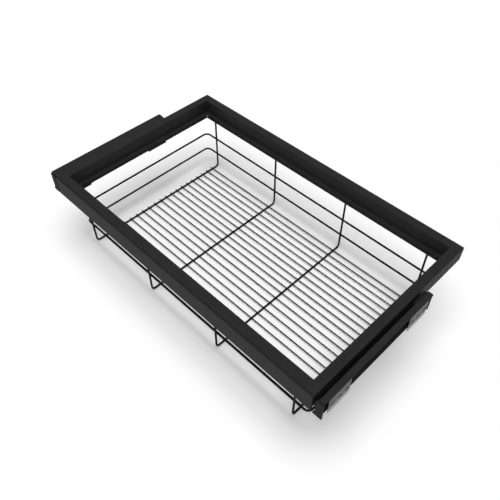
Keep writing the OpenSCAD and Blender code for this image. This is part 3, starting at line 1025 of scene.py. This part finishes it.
@dataclass
class Bracket:
    """A zinc-plated mounting bracket: a plate with pressed rings round its screw holes.

    ring is (radius, depth) from a screw hole's rim outwards, and pin_ring the same for a small punched hole. pin_rows
    is how far the two rows of punched holes lie above the screw holes.
    """

    length: float = 62.0
    low: float = 154.0
    high: float = 201.0
    outer: float = 434.0
    sheet: float = 1.6
    corner: float = 4.0
    hole_z: float = 179.0
    pitch: float = 21.0
    edge: float = 0.4
    overlap: float = 0.2
    web: float = 422.3
    shelf: float = 166.0
    shelf_depth: float = 9.6
    play: float = 0.1
    ring: Steps = ((2.5, 1.1), (3.2, 0.45), (4.3, 0.25), (5.0, 1.1), (5.9, 1.1), (6.7, 0.0))
    pin_ring: Steps = ((1.2, 0.3), (1.55, 0.0))
    pin_rows: tuple[float, float] = (10.0, 14.5)

    def holes(self, middle: float) -> list[tuple[float, float]]:
        """The middles of the screw holes."""
        return [(middle + s * self.pitch, self.hole_z) for s in (-1, 0, 1)]

    def pins(self, middle: float) -> list[tuple[float, float]]:
        """Places the small punched holes.

        Args:
            middle: the bracket's middle along Y.

        Returns:
            Their middles in Y and Z.
        """
        first, second = (self.hole_z + rise for rise in self.pin_rows)
        between = [(middle + s * self.pitch / 2, first) for s in (-1, 1)]
        return between + [(middle + s * self.pitch, second) for s in (-1, 0, 1)]

    def depth(self, distance: float) -> float:
        """Measures the pressing round a screw hole.

        Args:
            distance: a distance from the hole's middle.

        Returns:
            How far the face lies back there.
        """
        for (r0, d0), (r1, d1) in zip(self.ring, self.ring[1:]):
            if distance <= r1 + 1e-4:
                return d0 + (d1 - d0) * max(0.0, distance - r0) / (r1 - r0)
        return 0.0

    def pressed(self, middle: float, point: Vector) -> float:
        """Tells how deep a point lies in a pressed ring.

        Args:
            middle: the bracket's middle along Y.
            point: the point.

        Returns:
            The depth, from 0 to 1.
        """
        near = min(math.hypot(point.y - y, point.z - z) for y, z in self.holes(middle))
        return min(1.0, self.depth(near)) if near < self.ring[-1][0] else 0.0

    def plate(self, shape: Shape, middle: float) -> None:
        """Adds the pressed plate: two skins and the walls between them.

        Args:
            shape: the shape it goes into.
            middle: the bracket's middle along Y.
        """
        y0, y1 = middle - self.length / 2, middle + self.length / 2
        corners = [(y0, self.low, 1.0), (y1, self.low, self.corner), (y1, self.high, 1.0), (y0, self.high, 1.0)]
        outline = rounded(corners, 5)
        loops = [(outline, self.edge), (inset(outline, self.edge), 0.0)]
        for spots, ring, sides in ((self.holes(middle), self.ring, 32), (self.pins(middle), self.pin_ring, 20)):
            angles = [math.tau * k / sides for k in range(sides)]
            for y, z in spots:
                for radius, depth in ring:
                    loops.append(([(y + radius * math.cos(t), z + radius * math.sin(t)) for t in angles], depth))
        points, edges, depths = [], [], []
        for loop, depth in loops:
            first = len(points)
            points += [Vector(p) for p in loop]
            depths += [depth] * len(loop)
            edges += [(first + k, first + (k + 1) % len(loop)) for k in range(len(loop))]
        flat, _, faces, origins, _, _ = delaunay_2d_cdt(points, edges, [], 1, 1e-5)
        back = [depths[o[0]] if o else 0.0 for o in origins]
        punched = [(y, z, self.ring[0][0]) for y, z in self.holes(middle)]
        punched += [(y, z, self.pin_ring[0][0]) for y, z in self.pins(middle)]
        kept = []
        for face in faces:
            centre = sum((flat[k] for k in face), Vector((0, 0))) / len(face)
            if all((centre - Vector((y, z))).length > r * 0.999 for y, z, r in punched):
                kept.append(tuple(face))
        first, size = len(shape.points), len(flat)
        shape.points += [Vector((self.outer - d, p.x, p.y)) for p, d in zip(flat, back)]
        inner = self.outer - self.sheet
        shape.points += [Vector((inner - max(0.0, d - self.edge), p.x, p.y)) for p, d in zip(flat, back)]
        used: dict[tuple[int, int], int] = {}
        for face in kept:
            for a, b in zip(face, face[1:] + face[:1]):
                used[(a, b)] = used.get((a, b), 0) + 1
        rim = [(a, b) for a, b in used if (b, a) not in used]
        shape.faces += [tuple(first + k for k in face) for face in kept]
        shape.faces += [tuple(first + size + k for k in reversed(face)) for face in kept]
        shape.faces += [(first + b, first + a, first + size + a, first + size + b) for a, b in rim]

    def build(self, side: Side, end: End, middle: float) -> None:
        """Makes one bracket: its plate, the rear flange above and below the channel's flange, and the shelf.

        Args:
            side: the side it is on.
            end: whether it is the front or the rear one.
            middle: its middle along Y.
        """
        y0, y1 = middle - self.length / 2, middle + self.length / 2
        inner = self.outer - self.sheet + self.overlap
        above, below = self.shelf + self.sheet + self.play, self.shelf - self.play
        shape = Shape()
        self.plate(shape, middle)
        shape.block((self.web, y1 - self.sheet, above), (inner, y1, self.high))
        shape.block((self.web, y1 - self.sheet, self.low + self.corner), (inner, y1, below))
        shape.block((self.outer - self.shelf_depth, y0, self.shelf - self.sheet), (inner, y1, self.shelf))
        name = f"{side.word}_{end.value}_bracket"
        made = side.of(shape).piece(f"{name}_pressing", "zinc_plate", Body.CABINET, name)
        # the pressing depth drives the painted shade in the rings of the zinc material
        pressed = made.data.attributes.new(PRESSED, "FLOAT", "POINT")
        pressed.data.foreach_set("value", [self.pressed(middle, p) for p in shape.points])


@dataclass
class SideHousings:
    """The channels beside the frame, their end plates and their brackets.

    wide_in is where the wide flange begins on the left and on the right; flange_out is how far the top one reaches.
    """

    front: float = -243.0
    rear: float = 92.0
    low: float = 166.0
    high: float = 205.0
    sheet: float = 1.6
    web: float = 420.6
    out: float = 432.4
    flange_out: float = 433.9
    wide_in: tuple[float, float] = (410.4, 412.0)
    plate_low: float = 153.0
    plate_thick: float = 1.5
    brackets: tuple[tuple[End, float], ...] = ((End.FRONT, -198.0), (End.REAR, 48.0))

    def channel(self, side: Side) -> None:
        """One channel; the wide flange lies over the slide on the left and under it on the right.

        Args:
            side: the side it is on.
        """
        s, web = self.sheet, self.web
        wide = self.wide_in[0] if side is Side.LEFT else self.wide_in[1]
        top, out = (self.flange_out, self.out) if side is Side.LEFT else (self.out, self.flange_out)
        corners = [(wide, self.high, 0.4), (top, self.high, 0.4)]
        corners += [(top, self.high - s, 0.4), (web + s, self.high - s, 0.8)]
        corners += [(web + s, self.low + s, 0.8), (out, self.low + s, 0.4)]
        corners += [(out, self.low, 0.4), (web, self.low, 0.8)]
        corners += [(web, self.high - s, 0.4), (wide, self.high - s, 0.4)]
        if side is Side.RIGHT:
            corners = [(x, self.low + self.high - z, r) for x, z, r in corners]
        shape = Shape().prism(Axis.Y, rounded(corners, 3), self.front, self.rear, 0.25)
        side.of(shape).piece(f"{side.word}_channel", "housing_black", Body.CABINET, f"{side.word}_housing")

    def end_plate(self, side: Side) -> None:
        """The plate that closes a channel at the rear.

        Args:
            side: the side it is on.
        """
        corners = [(self.web, self.plate_low, 2.0), (self.out, self.plate_low, 2.0)]
        corners += [(self.out, self.high, 0.6), (self.web, self.high, 0.6)]
        shape = Shape().prism(Axis.Y, rounded(corners), self.rear, self.rear + self.plate_thick, 0.3)
        side.of(shape).piece(f"{side.word}_closing_plate", "housing_black", Body.CABINET, f"{side.word}_end_plate")

    def build(self) -> None:
        """Makes both channels with all that is fixed to them."""
        for side in Side:
            self.channel(side)
            self.end_plate(side)
            for end, middle in self.brackets:
                Bracket().build(side, end, middle)


@dataclass
class Carriers:
    """The angled brackets under the side members that hold the slides."""

    length: float = 58.0
    inner: float = 375.0
    step: float = 385.0
    thick: float = 2.5
    leg_in: float = 410.0
    leg_out: float = 411.5
    foot_top: float = 166.0
    step_top: float = 160.9
    top: float = 190.0
    middles: tuple[tuple[End, float], ...] = ((End.FRONT, -205.0), (End.REAR, 34.0))

    def build(self) -> None:
        """Makes the four carriers."""
        low, foot_low, riser = self.step_top - self.thick, self.foot_top - self.thick, self.step + self.thick
        corners = [(self.inner, low, 0.8), (riser, low, 1.2)]
        corners += [(riser, foot_low, 0.8), (self.leg_out, foot_low, 1.2)]
        corners += [(self.leg_out, self.top, 0.5), (self.leg_in, self.top, 0.5)]
        corners += [(self.leg_in, self.foot_top, 0.3), (self.step, self.foot_top, 1.2)]
        corners += [(self.step, self.step_top, 0.8), (self.inner, self.step_top, 0.8)]
        for side in Side:
            for end, middle in self.middles:
                y0, y1 = middle - self.length / 2, middle + self.length / 2
                shape = side.of(Shape().prism(Axis.Y, rounded(corners, 3), y0, y1, 0.4))
                name = f"{side.word}_{end.value}_carrier"
                shape.piece(f"{name}_angle", "frame_black", Body.BASKET, name)


@dataclass
class Screws:
    """Where every screw sits; each seat is the height of the heads' seats and the length of the shanks."""

    basket: WireBasket
    housings: SideHousings
    carriers: Carriers
    bracket_x: float = 427.5
    bracket_gap: float = 14.0
    bracket_seat: tuple[float, float] = (164.4, 5.0)
    carrier_x: float = 399.0
    carrier_gap: float = 16.0
    carrier_seat: tuple[float, float] = (163.5, 13.0)
    corner: tuple[float, float] = (356.0, 234.0)
    side_corner: tuple[float, float] = (399.0, 191.0)
    corner_seat: tuple[float, float] = (166.0, 11.0)
    tab_gap: float = 11.0
    tab_seat: tuple[float, float] = (164.0, 6.5)

    @staticmethod
    def pairs(x: float, places: Sequence[tuple[End, float]], gap: float) -> list[tuple[float, float]]:
        """Sets a pair of screws at each place on both sides.

        Args:
            x: their distance from the middle.
            places: which part each pair is in, and that part's middle along Y.
            gap: how far each screw is from its pair's middle.

        Returns:
            The screws' places in X and Y.
        """
        return [(s * x, y + d) for s in (-1, 1) for _, y in places for d in (-gap, gap)]

    def build(self) -> None:
        """Makes all groups of screws."""
        heads, y0, signs, gap = PanHeads(), self.basket.centre_y, (-1, 1), self.tab_gap
        spots = self.pairs(self.bracket_x, self.housings.brackets, self.bracket_gap)
        heads.group("bracket_screws", Body.CABINET, spots, *self.bracket_seat)
        spots = self.pairs(self.carrier_x, self.carriers.middles, self.carrier_gap)
        heads.group("carrier_screws", Body.BASKET, spots, *self.carrier_seat)
        spots = [(s * self.corner[0], y0 + d * self.corner[1]) for s in signs for d in signs]
        spots += [(s * self.side_corner[0], y0 + self.side_corner[1]) for s in signs]
        heads.group("corner_screws", Body.BASKET, spots, *self.corner_seat)
        tab_y = self.basket.tab_y
        spots = [(x + d * gap, y0 + s * tab_y) for x in self.basket.cross_x for s in signs for d in signs]
        heads.group("tab_screws", Body.BASKET, spots, *self.tab_seat)


def dress_cad_nodes() -> None:
    """Gives every CAD node that stays the finish of its material slot."""
    for name, node in frame["nodes"].items():
        finish = FINISH_OF_SLOT[SLOT_OF_NODE[name]].material()
        if not node.material_slots:
            node.data.materials.append(finish)
        for slot in node.material_slots:
            slot.material = finish


# ---- studio ----


@dataclass
class Studio:
    """A white floor, soft light from above and the photograph's camera.

    The backdrop's white fades into the ceiling's grey between the two backdrop_top heights, given as the sine of the
    elevation. floor_size and eye are in metres, lens is in millimetres, and angles are in degrees.
    """

    floor_size: float = 30.0
    floor_white: float = 0.985
    floor_drift: float = 0.004
    drift_mm: float = 900.0
    ceiling: float = 0.22
    backdrop_top: tuple[float, float] = (0.25, 0.4)
    sun: float = 2.36
    sun_spread: float = 50.0
    sun_from: tuple[float, float, float] = (0.09, -0.09, 1.0)
    lens: float = 41.225
    eye: tuple[float, float, float] = (0.66665, -0.65483, 1.11795)
    azimuth: float = 45.186
    elevation: float = 48.300
    roll: float = -0.173

    def floor(self) -> None:
        """The floor: matt white paper with a hardly visible drift in its white."""
        half = self.floor_size / 2
        mesh = bpy.data.meshes.new("studio_floor")
        mesh.from_pydata([(-half, -half, 0), (half, -half, 0), (half, half, 0), (-half, half, 0)], [], [(0, 1, 2, 3)])
        material = bpy.data.materials.new("studio_paper")
        graph = Graph(material)
        tone = graph.noise(self.drift_mm, 2).step(0.2, 0.8)
        colour = graph.mix(tone, (self.floor_white - self.floor_drift,) * 3, (self.floor_white,) * 3)
        surface = graph.node("BsdfDiffuse", inputs={"Color": colour})
        graph.node("OutputMaterial", inputs={"Surface": surface})
        mesh.materials.append(material)
        made = bpy.data.objects.new("studio_floor", mesh)
        bpy.context.scene.collection.objects.link(made)

    def light(self) -> None:
        """A white backdrop all round, a dim ceiling above it and one very soft lamp overhead."""
        world = bpy.data.worlds.new("white_room")
        bpy.context.scene.world = world
        graph = Graph(world)
        height = graph.node("SeparateXYZ", inputs={0: graph.node("TexCoord", out="Generated")}, out="Z")
        strength = 1 - height.step(*self.backdrop_top) * (1.0 - self.ceiling)
        sky = graph.node("Background", inputs={"Color": (1.0, 1.0, 1.0), "Strength": strength})
        graph.node("OutputWorld", inputs={"Surface": sky})
        lamp = bpy.data.lights.new("soft_key", "SUN")
        lamp.energy = self.sun
        lamp.angle = math.radians(self.sun_spread)
        made = bpy.data.objects.new("soft_key", lamp)
        made.rotation_mode = "QUATERNION"
        made.rotation_quaternion = Vector(self.sun_from).to_track_quat("Z", "Y")
        bpy.context.scene.collection.objects.link(made)

    def camera(self) -> None:
        """The camera, where the photograph was taken."""
        a, e, r = (math.radians(v) for v in (self.azimuth, self.elevation, self.roll))
        right = Vector((math.cos(a), math.sin(a), 0))
        back = Vector((math.sin(a) * math.cos(e), -math.cos(a) * math.cos(e), math.sin(e)))
        up = back.cross(right)
        turned = (right * math.cos(r) + up * math.sin(r), up * math.cos(r) - right * math.sin(r), back)
        data = bpy.data.cameras.new("photo_camera")
        data.sensor_width, data.lens = 36.0, self.lens
        data.clip_start, data.clip_end = 0.05, 100.0
        made = bpy.data.objects.new("photo_camera", data)
        made.matrix_world = Matrix.Translation(self.eye) @ Matrix(turned).transposed().to_4x4()
        bpy.context.scene.collection.objects.link(made)
        bpy.context.scene.camera = made

    def build(self) -> None:
        """Sets the stage."""
        bpy.context.scene.view_settings.view_transform = "Standard"
        self.floor()
        self.light()
        self.camera()


def main() -> None:
    """Builds everything in order."""
    logging.basicConfig(level=logging.INFO, format="%(name)s %(message)s")
    dress_cad_nodes()
    basket, housings, carriers = WireBasket(), SideHousings(), Carriers()
    parts: list[Callable[[], None]] = [
        basket.build,
        Screws(basket, housings, carriers).build,
        Rivets().build,
        FrontStrip().build,
        housings.build,
        carriers.build,
        Studio().build,
    ]
    for part in parts:
        part()


if __name__ == "__main__":
    main()
